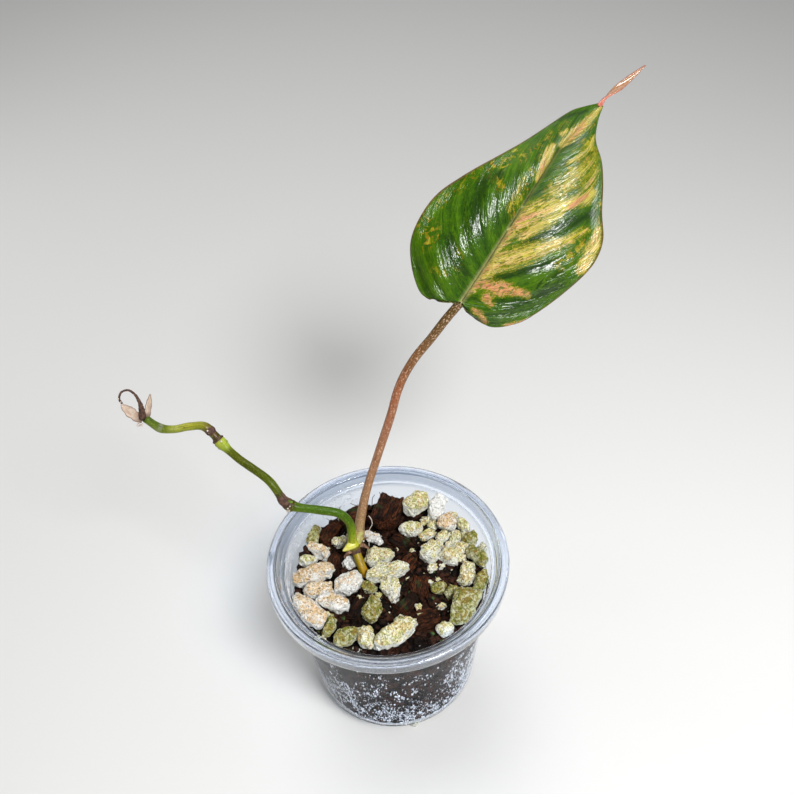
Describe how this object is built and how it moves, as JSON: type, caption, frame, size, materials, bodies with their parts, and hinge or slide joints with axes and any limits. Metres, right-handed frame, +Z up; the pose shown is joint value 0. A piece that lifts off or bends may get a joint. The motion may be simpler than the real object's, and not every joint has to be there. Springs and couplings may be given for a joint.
{
  "type": "potted philodendron",
  "caption": "Rooted philodendron cutting in a clear plastic grow cup of coco mix and perlite: one variegated heart leaf on a long petiole and a bare vine over the rim.",
  "frame": {"origin": "centre of the cup's base, on the surface it stands on", "axes": "+Z up along the cup's axis; +X to the right of the leaf's shown face, away from the vine; +Y away from the side the picture shows"},
  "size_m": [0.1969, 0.1389, 0.23],
  "materials": {
    "clear_plastic": "clear, glossy, faintly hazed",
    "coco_mix": "damp and crumbly",
    "root_tan": "matt",
    "vine_green": "smooth, slightly glossy",
    "petiole_brown": "satin, finely specked",
    "leaf_green": "glossy, quilted, marbled cream and pink",
    "dry_paper": "dry and papery",
    "dry_brown": "dry, matt",
    "perlite_white": "rough, pitted",
    "perlite_cream": "rough, pitted",
    "perlite_mossy": "rough, pitted, green with algae",
    "coco_husk": "fibrous, matt"
  },
  "bodies": {
    "root": {"pot": "clear_plastic", "potting_mix": "coco_mix", "roots": "root_tan", "vine": "vine_green", "petiole": "petiole_brown", "leaf": "leaf_green", "tip_sheath": "dry_paper", "withered_shoot": "dry_brown", "perlite_01": "perlite_white", "perlite_02": "perlite_white", "perlite_03": "perlite_white", "perlite_04": "perlite_white", "perlite_05": "perlite_cream", "perlite_06": "perlite_mossy", "perlite_07": "perlite_white", "perlite_08": "perlite_cream", "perlite_09": "perlite_white", "perlite_10": "perlite_cream", "perlite_11": "perlite_cream", "perlite_12": "perlite_white", "perlite_13": "perlite_white", "perlite_14": "perlite_mossy", "perlite_15": "perlite_mossy", "perlite_16": "perlite_cream", "perlite_17": "perlite_cream", "perlite_18": "perlite_cream", "perlite_19": "perlite_mossy", "perlite_20": "perlite_mossy", "perlite_21": "perlite_cream", "perlite_22": "perlite_mossy", "perlite_23": "perlite_mossy", "perlite_24": "perlite_cream", "perlite_25": "perlite_mossy", "perlite_26": "perlite_cream", "perlite_27": "perlite_mossy", "perlite_28": "perlite_cream", "perlite_29": "perlite_cream", "perlite_30": "perlite_cream", "perlite_31": "perlite_cream", "perlite_32": "perlite_white", "perlite_33": "perlite_cream", "perlite_34": "perlite_white", "perlite_35": "perlite_cream", "perlite_36": "perlite_cream", "perlite_37": "perlite_mossy", "perlite_38": "perlite_mossy", "husk_chip_01": "coco_husk", "husk_chip_02": "coco_husk", "husk_chip_03": "coco_husk", "husk_chip_04": "coco_husk", "husk_chip_05": "coco_husk", "husk_chip_06": "coco_husk", "husk_chip_07": "coco_husk", "husk_chip_08": "coco_husk", "husk_chip_09": "coco_husk", "husk_chip_10": "coco_husk"}
  },
  "joints": []
}
